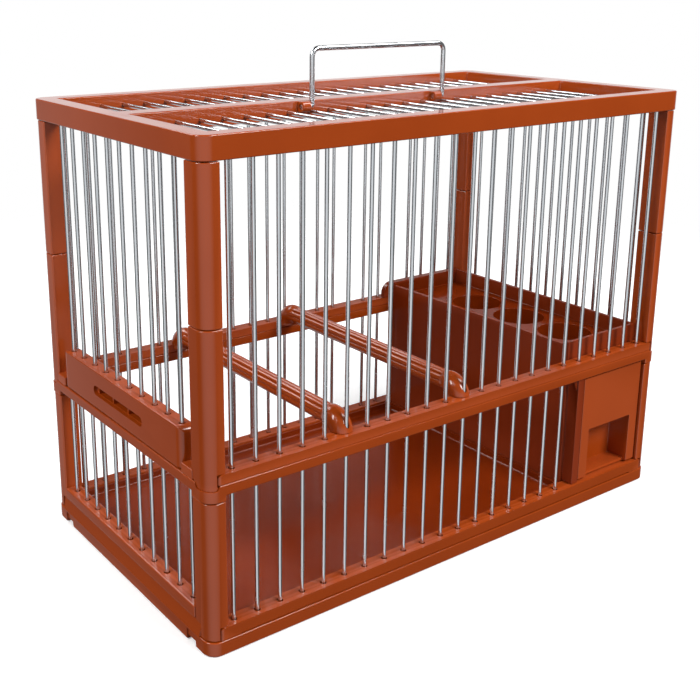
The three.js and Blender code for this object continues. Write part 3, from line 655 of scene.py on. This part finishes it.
def handle_lug(leg_x):
    """Round-nosed lug on the roof bar, beside one leg of the handle."""
    right = leg_x - HANDLE_R - LUG_GAP
    root = -BAR_HALF + OVER
    nose = arc((PIVOT_Y, PIVOT_Z), LUG_R, math.pi, LUG_STEPS)
    outline = [(root, PIVOT_Z + LUG_R)] + nose + [(root, PIVOT_Z - LUG_R)]
    return soften(prism(outline, right - LUG_W, right, "x"), SMALL_EDGE)


def top_ring():
    """Roof frame with its lengthwise bar, the handle's lugs and holes for the roof wires."""
    windows = [
        box((-IN_X, IN_X), (BAR_HALF, IN_Y), (RING[0] - OVER, RING[1] + OVER)),
        box((-IN_X, IN_X), (-IN_Y, -BAR_HALF), (RING[0] - OVER, RING[1] + OVER)),
    ]
    under_bar = box((-IN_X, IN_X), (-BAR_HALF - OVER, BAR_HALF + OVER), (RING[0] - OVER, RING[0] + BAR_RISE))
    bm = soften(carve(carve(prism(footprint(), *RING), windows), [under_bar]), FRAME_EDGE)
    bm = join(bm, [handle_lug(x) for x in LEG_X])
    tools = []
    for x in WIRES_ROOF:
        for y, s in ((-IN_Y, -1), (-BAR_HALF, 1), (BAR_HALF, -1), (IN_Y, 1)):
            mouth = (x, y - s * OVER / 2, ROOF_WIRE_Z)
            tools.append(rod(mouth, (x, y + s * ROOF_REACH, ROOF_WIRE_Z), ROOF_HOLE_R, HOLE_SIDES))
    for x in LEG_X:
        start = (x - HANDLE_R - PIN_HOLE, PIVOT_Y, PIVOT_Z)
        tools.append(rod(start, (x, PIVOT_Y, PIVOT_Z), HANDLE_R + SEAM, HOLE_SIDES))
    tools += wire_grooves(RING[0], RING_GROOVE, DOOR_GROOVE)
    place("top", carve(bm, tools), "cage", BROWN, ["top_ring"])


def roof_wires():
    wires = []
    for x in WIRES_ROOF:
        start, end = (x, -IN_Y - ROOF_REACH, ROOF_WIRE_Z), (x, IN_Y + ROOF_REACH, ROOF_WIRE_Z)
        wires.append(rod(start, end, WIRE_R, WIRE_SIDES))
    place("wires_roof", merged(wires), "cage", STEEL_ROOF)


top_ring()
roof_wires()

# ---------------------------------------------------------------- carrying handle
PIN_BEND, TOP_BEND = 1.4, 4.0


def tube(path, radius, sides=20):
    """Closed tube along a path of points, its ring carried along without twist."""
    points = [Vector(p) for p in path]
    bm = bmesh.new()
    rings = []
    across = None
    for i, p in enumerate(points):
        ahead = (points[min(i + 1, len(points) - 1)] - points[max(i - 1, 0)]).normalized()
        if across is None:
            across = ahead.orthogonal().normalized()
        else:
            across = (across - ahead * across.dot(ahead)).normalized()
        other = ahead.cross(across)
        ring = []
        for a in circle(sides):
            ring.append(bm.verts.new(p + radius * (math.cos(a) * across + math.sin(a) * other)))
        rings.append(ring)
    return skin(bm, rings)


def rounded_path(corners, radii, steps=8):
    """Straight runs between corners, each corner turned on its own radius."""
    points = [Vector(corners[0])]
    for before, corner, after, r in zip(corners, corners[1:], corners[2:], radii):
        corner = Vector(corner)
        to_before = (Vector(before) - corner).normalized()
        to_after = (Vector(after) - corner).normalized()
        centre = corner + (to_before + to_after) * r
        for i in range(steps + 1):
            t = i / steps * math.pi / 2
            points.append(centre - to_after * r * math.cos(t) - to_before * r * math.sin(t))
    points.append(Vector(corners[-1]))
    return points


def carry_handle():
    """Wire bail whose ends turn in as pins, both towards the door, into the lugs."""
    left, right = LEG_X
    pin = HANDLE_R + LUG_GAP + LUG_W - SEAM
    corners = [
        (left - pin, PIVOT_Y, PIVOT_Z), (left, PIVOT_Y, PIVOT_Z), (left, PIVOT_Y, HANDLE_TOP),
        (right, PIVOT_Y, HANDLE_TOP), (right, PIVOT_Y, PIVOT_Z), (right - pin, PIVOT_Y, PIVOT_Z),
    ]
    path = rounded_path(corners, [PIN_BEND, TOP_BEND, TOP_BEND, PIN_BEND])
    place("handle_wire", tube(path, HANDLE_R), "handle", STEEL_HANDLE, ["carry_handle"])


carry_handle()

# ---------------------------------------------------------------- end door
DOOR_CORNER = 3.5
SLOT_HALF, SLOT_RISE, SLOT_HIGH, SLOT_CORNER, SLOT_DEPTH = 25.5, 6.8, 5.0, 2.45, 2.0
CELLS_LONG, CELL_GAP, CELL_DEPTH, CELL_HIGH = 46.0, 1.2, 5.8, 6.6
NIB_FROM, NIB_TO, NIB_BACK = 4.0, 8.0, 3.0
HOOK_T, HOOK_DROP, LIP_T = 1.6, 2.6, 2.0
DOOR_WIRE_LEAD = 0.6


def end_door():
    """Door drawn as a front one and turned to the left end: panel, finger slot, hook, nibs and wires."""
    y0, y1 = -HALF_L, -HALF_L + RAIL_W
    upright = rounded_rect(-DOOR_HALF, DOOR_HALF, *DOOR_Z, (0, 0, DOOR_CORNER, DOOR_CORNER), steps=10)
    plan = rounded_rect(-DOOR_HALF, DOOR_HALF, y0, y1, (DOOR_CORNER, DOOR_CORNER, 0, 0), steps=10)
    panel = soften(common(prism(upright, y0, y1, "y"), [prism(plan, *DOOR_Z)]), DOOR_EDGE)

    slot_z = DOOR_Z[0] + SLOT_RISE
    mouth = rounded_rect(-SLOT_HALF, SLOT_HALF, slot_z, slot_z + SLOT_HIGH, [SLOT_CORNER] * 4, steps=8)
    tools = [soften(prism(mouth, y0 - OVER, y0 + SLOT_DEPTH, "y"), SLOT_EDGE, segments=2)]
    cell = (CELLS_LONG - 2 * CELL_GAP) / 3
    for i in (-1, 0, 1):
        middle = i * (cell + CELL_GAP)
        x, z = (middle - cell / 2, middle + cell / 2), (slot_z + SEAM, slot_z + CELL_HIGH)
        tools.append(box(x, (y0 + OVER, y0 + CELL_DEPTH), z))
    sockets = [socket(x, y0 + WIRE_IN, DOOR_Z[1]) for x in WIRES_DOOR]
    panel = carve(carve(panel, tools), sockets, overlapping=False)

    nibs = []
    for s in (-1, 1):
        x = (s * (DOOR_HALF - NIB_FROM), s * (DOOR_HALF - NIB_TO))
        nibs.append(box(x, (y0 + NIB_BACK, y1 - OVER), (MIDDLE[1] + SEAM, DOOR_Z[0] + OVER)))
    width, hook_y = (-DOOR_HALF, DOOR_HALF), y1 + SEAM
    lip = box(width, (y1 - OVER, hook_y + HOOK_T), (DOOR_Z[0], DOOR_Z[0] + LIP_T))
    hook = box(width, (hook_y, hook_y + HOOK_T), (MIDDLE[1] - HOOK_DROP, DOOR_Z[0] + LIP_T))
    panel = join(panel, nibs + [soften(join(lip, [hook]), SMALL_EDGE, segments=2)])
    place("door_panel", spun(panel, LEFT), "door", BROWN, ["end_door"])

    wire_top = RING[0] + DOOR_WIRE_LEAD
    wire_wall("wires_door", WIRES_DOOR, y0 + WIRE_IN, DOOR_Z[1] - WIRE_FOOT, wire_top, LEFT, "door")


end_door()

# ---------------------------------------------------------------- litter tray
TRAY_HALF = INNER_Y - 0.6
TRAY_END = FEED_L - 0.6
TRAY_T, TRAY_H = 1.6, 5.4
TRAY_CORNER = 1.1
TRAY_HOLLOW = 12.0
BAND_H, BAND_LEAN = 6.3, 1.4


def litter_tray():
    """Shallow tray whose front is a leaning band that closes the end below the left rail."""
    floor_z, front_x = LOWER_RAIL[0], -HALF_L
    back_of_band = front_x + BAND_T
    shell = box((back_of_band - OVER, TRAY_END), (-TRAY_HALF, TRAY_HALF), (floor_z, floor_z + TRAY_H))
    inside_x, inside_y = (back_of_band, TRAY_END - TRAY_T), TRAY_HALF - TRAY_T
    inside = box(inside_x, (-inside_y, inside_y), (floor_z + TRAY_T, floor_z + TRAY_HOLLOW))
    shell = carve(shell, [soften(inside, TRAY_CORNER, segments=4)])
    low, high = floor_z, floor_z + BAND_H
    profile = [(front_x, low), (back_of_band, low), (back_of_band, high), (front_x + BAND_LEAN, high)]
    band = prism(profile, -TRAY_HALF, TRAY_HALF, "y")
    radii = (BAND_T, 0, 0, BAND_T)
    plan = rounded_rect(front_x - OVER, back_of_band, -TRAY_HALF, TRAY_HALF, radii, steps=8)
    band = common(band, [prism(plan, floor_z - OVER, floor_z + 8 * OVER)])
    bm = soften(join(shell, [band]), TRAY_EDGE, segments=2)
    # the tray is coloured with the darker copy of the plastic, which is painted shade, except for its front
    # band
    place("tray", bm, "tray", BROWN_TRAY_PAINTED_SHADE, ["litter_tray"])


litter_tray()

# ---------------------------------------------------------------- feeder housing
FEED_T = 2.0
PLATE_Z = 88.0
JAMB = (86.0, 91.0)
JAMB_IN = 1.5
GUSSET_REACH, GUSSET_H, GUSSET_Y = 3.0, 9.0, (2.5, 4.0)
EAR_REACH, EAR_R, EAR_STEPS = 7.5, 7.0, 12
EAR_IN = 2.4
WELL_X, WELLS_Y = 118.0, (-42.0, -6.0, 30.0)
WELL_R, WELL_MOUTH_R, WELL_Z = 14.3, 15.55, 62.0
CUP_R, CUP_MOUTH_R, CUP_Z = 15.9, 17.1, 60.4
WELL_SIDES = 56


def feeder_ear():
    """Round-topped ear that hooks the housing over the back rail."""
    foot, tip = UPPER_RAIL[1] + SEAM, FEED_L - EAR_REACH
    crown = arc((tip + EAR_R, FEED_TOP - EAR_R), EAR_R, math.pi / 2, EAR_STEPS)
    outline = [(FEED_L + OVER, foot), (FEED_L + OVER, FEED_TOP)] + crown + [(tip, foot)]
    return prism(outline, INNER_Y - OVER, INNER_Y + EAR_IN, "y")


def feeder_gusset():
    """Small triangle that stiffens the top of the jamb."""
    root = JAMB[0] + OVER
    outline = [(root, BAY[1]), (JAMB[0] - GUSSET_REACH, BAY[1]), (root, BAY[1] - GUSSET_H)]
    return prism(outline, -(HALF_D - GUSSET_Y[0]), -(HALF_D - GUSSET_Y[1]), "y")


def feeder_housing():
    """Box over the drawer with a rimmed plate, three tapered seed wells, an ear and a front jamb."""
    t = FEED_T
    inside_x, inside_y = (FEED_L + t, FEED_R - t), (-(FEED_Y - t), FEED_Y - t)
    bm = box((FEED_L, FEED_R), (-FEED_Y, FEED_Y), (LOWER_RAIL[0], FEED_TOP))
    bm = carve(bm, [
        box(inside_x, inside_y, (PLATE_Z, FEED_TOP + OVER)),
        box(inside_x, inside_y, (BAY[0], PLATE_Z - t)),
        box(inside_x, inside_y, (LOWER_RAIL[0] - OVER, BAY[0] - t)),
    ])
    bm = carve(bm, [
        box((FEED_L - OVER, FEED_L + t + OVER), inside_y, (FEED_TOP - t, FEED_TOP + OVER)),
        box((JAMB[1], FEED_R - t), (-(FEED_Y + OVER), -(FEED_Y - t - OVER)), BAY),
    ])
    flange = box((FEED_L, FEED_R), (FEED_Y - t, INNER_Y + EAR_IN), (UPPER_RAIL[1] + SEAM, FEED_TOP))
    jamb = box(JAMB, (-(HALF_D - JAMB_IN), -(FEED_Y - t)), BAY)
    bm = join(bm, [flange, feeder_ear(), jamb, feeder_gusset()])
    cups, wells = [], []
    for y in WELLS_Y:
        cup_top, well_top = (WELL_X, y, PLATE_Z - OVER), (WELL_X, y, PLATE_Z + OVER)
        cups.append(rod((WELL_X, y, CUP_Z), cup_top, CUP_R, WELL_SIDES, tip=CUP_MOUTH_R))
        wells.append(rod((WELL_X, y, WELL_Z), well_top, WELL_R, WELL_SIDES, tip=WELL_MOUTH_R))
    bm = soften(carve(join(bm, cups), wells), FEEDER_EDGE)
    # the housing is coloured with the darker copy of the plastic, which is painted shade
    place("feeder", bm, "cage", BROWN_PAINTED_SHADE, ["feeder_housing"])


feeder_housing()

# ---------------------------------------------------------------- drawer
DRAWER_FACE, DRAWER_INSIDE, DRAWER_BACK = -80.5, -78.0, 57.5
PANEL_X, BODY_X = (92.0, 141.5), (92.0, 139.2)
PANEL_Z = (14.8, 75.7)
DRAWER_Z, DRAWER_H = 14.1, 40.0
DRAWER_T = 1.6
PULL_X, PULL_TOP, PULL_DEPTH = (98.8, 134.7), 43.8, 11.0
# overlap of two cuts that would otherwise meet face to face
SLIVER = 0.01


def feeder_drawer():
    """Drawer whose front is notched below, with a pocket behind the notch for the fingers."""
    t, inside, bottom = DRAWER_T, DRAWER_INSIDE, DRAWER_Z
    bm = box(BODY_X, (inside - OVER, DRAWER_BACK), (bottom, bottom + DRAWER_H))
    hollow_z = (bottom + t, bottom + DRAWER_H + OVER)
    bm = carve(bm, [box((BODY_X[0] + t, BODY_X[1] - t), (inside, DRAWER_BACK - t), hollow_z)])
    pocket_x = (PULL_X[0] - t, PULL_X[1] + t)
    bm = join(bm, [
        box(PANEL_X, (DRAWER_FACE, inside), PANEL_Z),
        box(pocket_x, (inside - OVER, inside + PULL_DEPTH + t), (bottom, PULL_TOP + t)),
    ])
    bm = carve(bm, [
        box(PULL_X, (inside - 2 * OVER, inside + PULL_DEPTH), (bottom + t, PULL_TOP)),
        box(PULL_X, (DRAWER_FACE - OVER, inside + SLIVER), (bottom - OVER, PULL_TOP)),
    ])
    place("drawer", soften(bm, FRAME_EDGE), "drawer", BROWN, ["feeder_drawer"])


feeder_drawer()

# ---------------------------------------------------------------- perches
PERCH_X = (-75.0, 0.0)
PERCH_Z = 91.9
PERCH_R, PERCH_SIDES = 4.9, 96
FLUTES, FLUTE_DEPTH, FLUTE_FORM = 8, 0.8, 0.6
FLUTE_FADE, FADE_FROM = 3.0, 1.5
FADE_STEPS = (8, 6, 4.5, 3, FADE_FROM)
FOOT_R, BEND_R, BEND_STEPS = 5.5, 6.3, 12
FOOT_FROM, FOOT_DROP = 7.5, 2.5
SEAT_HALF, SEAT_CUT_FROM = 7.0, 80.0
PERCH_HOLE_R, PERCH_HOLE_SIDES, PERCH_HOLE_Z = 1.35, 24, (70.0, 110.0)


def perch_end(s):
    """Places (y, z, share of flute) from the straight part of a perch round the bend to its foot."""
    start = HALF_D - FOOT_FROM - BEND_R
    places = []
    for d in FADE_STEPS:
        places.append((s * (start - d), PERCH_Z, min(1.0, max(0.0, (d - FADE_FROM) / FLUTE_FADE))))
    for i in range(BEND_STEPS + 1):
        a = i / BEND_STEPS * math.pi / 2
        y, z = start + BEND_R * math.sin(a), PERCH_Z - BEND_R * (1 - math.cos(a))
        places.append((s * y, z, 0.0))
    return places + [(s * (start + BEND_R), UPPER_RAIL[1] - FOOT_DROP, 0.0)]


def perch_ring(bm, x, place_before, here, place_after):
    """One ring of a perch's skin, square to its path, fluted or smooth."""
    y, z, flute = here
    run_y, run_z = place_after[0] - place_before[0], place_after[1] - place_before[1]
    side = Vector((1, 0, 0))
    up = side.cross(Vector((0, run_y, run_z)).normalized())
    smooth = FOOT_R if flute == 0 else PERCH_R
    ring = []
    for a in circle(PERCH_SIDES):
        groove = FLUTE_DEPTH * (1 - abs(math.sin(FLUTES * a / 2)) ** FLUTE_FORM)
        q = (PERCH_R - groove) * flute + smooth * (1 - flute)
        ring.append(bm.verts.new(Vector((x, y, z)) + q * (math.cos(a) * side + math.sin(a) * up)))
    return ring


def perch(x, name):
    """Fluted rod whose smooth ends bend down on to the rails and straddle a wire."""
    run = list(reversed(perch_end(-1))) + perch_end(1)
    bm = bmesh.new()
    rings = []
    for i, here in enumerate(run):
        rings.append(perch_ring(bm, x, run[max(i - 1, 0)], here, run[min(i + 1, len(run) - 1)]))
    bm = skin(bm, rings)
    seats, holes = [], []
    for s in (-1, 1):
        seat_y, wire_y = (s * (INNER_Y - SEAM), s * HALF_D), s * (HALF_D - WIRE_IN)
        seats.append(box((x - SEAT_HALF, x + SEAT_HALF), seat_y, (SEAT_CUT_FROM, UPPER_RAIL[1] + SEAM)))
        low, high = ((x, wire_y, z) for z in PERCH_HOLE_Z)
        holes.append(rod(low, high, PERCH_HOLE_R, PERCH_HOLE_SIDES))
    place(name + "_rod", carve(carve(bm, seats), holes), name, BROWN, [name])


for x, name in zip(PERCH_X, ("perch_left", "perch_right")):
    perch(x, name)

# ---------------------------------------------------------------- stage, in metres
FLOOR_HALF, FLOOR_Z = 0.9, -0.0005
FADE, GRAIN_SCALE = (0.5, 0.85), 300
DEPTH_AXIS = (0.59, 0.81, 0.0)
CEILING, CEILING_LIGHT = (0.12, 0.36), 0.22
SURROUND = [(0.0, grey(0.06)), (0.4, grey(0.12)), (0.75, grey(0.85)), (0.9, (0.98, 0.99, 1.0, 1))]
DIFFUSE_LIGHT, GLOSSY_LIGHT = 0.5, 1.0
AIM = (0, 0, 0.11)
SOFTBOXES = (
    ("key", (0.4, -1.15, 1.05), (0.7, 0.5), 25),
    ("left", (-1.25, 0.0, 1.0), (0.5, 0.6), 18),
    ("edge", (0.8, -0.35, 1.3), (0.45, 0.45), 7),
    ("rim", (-0.35, 1.1, 1.2), (0.6, 0.5), 8),
)


def smooth_step(tree, value, start, end):
    node = tree.nodes.new("ShaderNodeMapRange")
    node.interpolation_type = "SMOOTHSTEP"
    node.inputs["From Min"].default_value, node.inputs["From Max"].default_value = start, end
    tree.links.new(value, node.inputs["Value"])
    return node


def floor_material():
    """White card that fades out into the white surround; only the camera's own rays meet it."""
    material, tree, shader, where = node_tree("floor_card")
    nodes, links = tree.nodes, tree.links
    shader.inputs["Base Color"].default_value = (0.94, 0.94, 0.94, 1)
    shader.inputs["Roughness"].default_value = 0.9
    shader.inputs["Emission Color"].default_value = (1, 1, 1, 1)
    shader.inputs["Emission Strength"].default_value = 0.25
    shader.inputs["Specular IOR Level"].default_value = 0.0
    bump(tree, shader, noise(tree, where, GRAIN_SCALE, detail=2), strength=0.02, distance=0.0002)
    clear = nodes.new("ShaderNodeBsdfTransparent")
    paths = nodes.new("ShaderNodeLightPath")
    seen = nodes.new("ShaderNodeMixShader")
    links.new(paths.outputs["Is Camera Ray"], seen.inputs[0])
    links.new(clear.outputs[0], seen.inputs[1])
    links.new(shader.outputs[0], seen.inputs[2])
    length = nodes.new("ShaderNodeVectorMath")
    length.operation = "LENGTH"
    links.new(where, length.inputs[0])
    far = smooth_step(tree, length.outputs["Value"], *FADE)
    fade = nodes.new("ShaderNodeMixShader")
    links.new(far.outputs["Result"], fade.inputs[0])
    links.new(seen.outputs[0], fade.inputs[1])
    links.new(clear.outputs[0], fade.inputs[2])
    links.new(fade.outputs[0], nodes["Material Output"].inputs["Surface"])
    return material


def lay_floor():
    bm = bmesh.new()
    bmesh.ops.create_grid(bm, x_segments=2, y_segments=2, size=FLOOR_HALF)
    floor = to_object(bm, "floor")
    floor.data.materials.append(floor_material())
    floor.location = (0, 0, FLOOR_Z)


def surround_light(tree):
    """Colour of the light from each direction: bright before and behind, dark at the sides and above."""
    nodes, links = tree.nodes, tree.links
    coords = nodes.new("ShaderNodeTexCoord")
    along = nodes.new("ShaderNodeVectorMath")
    along.operation = "DOT_PRODUCT"
    links.new(coords.outputs["Generated"], along.inputs[0])
    along.inputs[1].default_value = DEPTH_AXIS
    size = nodes.new("ShaderNodeMath")
    size.operation = "ABSOLUTE"
    links.new(along.outputs["Value"], size.inputs[0])
    parts = nodes.new("ShaderNodeSeparateXYZ")
    links.new(coords.outputs["Generated"], parts.inputs[0])
    ceiling = smooth_step(tree, parts.outputs["Z"], *CEILING)
    ceiling.inputs["To Min"].default_value, ceiling.inputs["To Max"].default_value = 1.0, CEILING_LIGHT
    dimmed = nodes.new("ShaderNodeVectorMath")
    dimmed.operation = "SCALE"
    links.new(ramp(tree, size.outputs[0], SURROUND), dimmed.inputs[0])
    links.new(ceiling.outputs["Result"], dimmed.inputs["Scale"])
    return dimmed.outputs["Vector"]


def studio():
    """Surround: plain white to the camera, and a directed light to the object."""
    world = bpy.data.worlds.new("studio")
    bpy.context.scene.world = world
    world.use_nodes = True
    tree = world.node_tree
    nodes, links = tree.nodes, tree.links
    lit = nodes["Background"]
    links.new(surround_light(tree), lit.inputs["Color"])
    paths = nodes.new("ShaderNodeLightPath")
    strength = nodes.new("ShaderNodeMapRange")
    strength.inputs["To Min"].default_value = DIFFUSE_LIGHT
    strength.inputs["To Max"].default_value = GLOSSY_LIGHT
    links.new(paths.outputs["Is Glossy Ray"], strength.inputs["Value"])
    links.new(strength.outputs["Result"], lit.inputs["Strength"])
    plain = nodes.new("ShaderNodeBackground")
    plain.inputs["Color"].default_value = (1, 1, 1, 1)
    plain.inputs["Strength"].default_value = 1.0
    seen = nodes.new("ShaderNodeMath")
    seen.operation = "MAXIMUM"
    links.new(paths.outputs["Is Camera Ray"], seen.inputs[0])
    links.new(paths.outputs["Is Transmission Ray"], seen.inputs[1])
    mix = nodes.new("ShaderNodeMixShader")
    links.new(seen.outputs[0], mix.inputs[0])
    links.new(lit.outputs[0], mix.inputs[1])
    links.new(plain.outputs[0], mix.inputs[2])
    links.new(mix.outputs[0], nodes["World Output"].inputs["Surface"])


def softbox(name, at, size, watts):
    data = bpy.data.lights.new(name, "AREA")
    data.shape = "RECTANGLE"
    data.size, data.size_y = size
    data.energy = watts
    lamp = bpy.data.objects.new(name, data)
    bpy.context.collection.objects.link(lamp)
    lamp.location = at
    lamp.rotation_euler = (Vector(AIM) - Vector(at)).to_track_quat("-Z", "Y").to_euler()


lay_floor()
studio()
for lamp in SOFTBOXES:
    softbox(*lamp)

# ---------------------------------------------------------------- camera
# fitted to the photograph's frame of 700 by 700 pixels; CENTRE_PX is where its axis meets the frame
FOCAL_PX, IMAGE_PX, SENSOR = 1047.31, 700, 36.0
AZIMUTH, ELEVATION, ROLL = -35.95, 15.17, 0.14
CAMERA_AT = (-353.83, -427.83, 288.07)
CENTRE_PX = (302.0, 265.0)


def stand_camera():
    data = bpy.data.cameras.new("camera")
    data.sensor_width = SENSOR
    data.lens = FOCAL_PX / IMAGE_PX * SENSOR
    data.shift_x = (IMAGE_PX / 2 - CENTRE_PX[0]) / IMAGE_PX
    data.shift_y = (CENTRE_PX[1] - IMAGE_PX / 2) / IMAGE_PX
    data.clip_start, data.clip_end = 0.01, 20
    camera = bpy.data.objects.new("camera", data)
    bpy.context.collection.objects.link(camera)
    a, e, r = map(math.radians, (AZIMUTH, ELEVATION, ROLL))
    look_back = Vector((math.sin(a) * math.cos(e), -math.cos(a) * math.cos(e), math.sin(e)))
    side = Vector((0, 0, 1)).cross(look_back).normalized()
    up = look_back.cross(side)
    side, up = math.cos(r) * side + math.sin(r) * up, math.cos(r) * up - math.sin(r) * side
    turn = Matrix((side, up, look_back)).transposed()
    camera.matrix_world = Matrix.Translation(Vector(CAMERA_AT) * MM) @ turn.to_4x4()
    bpy.context.scene.camera = camera


stand_camera()
bpy.context.scene.view_settings.view_transform = "Standard"

bpy.context.view_layer.update()
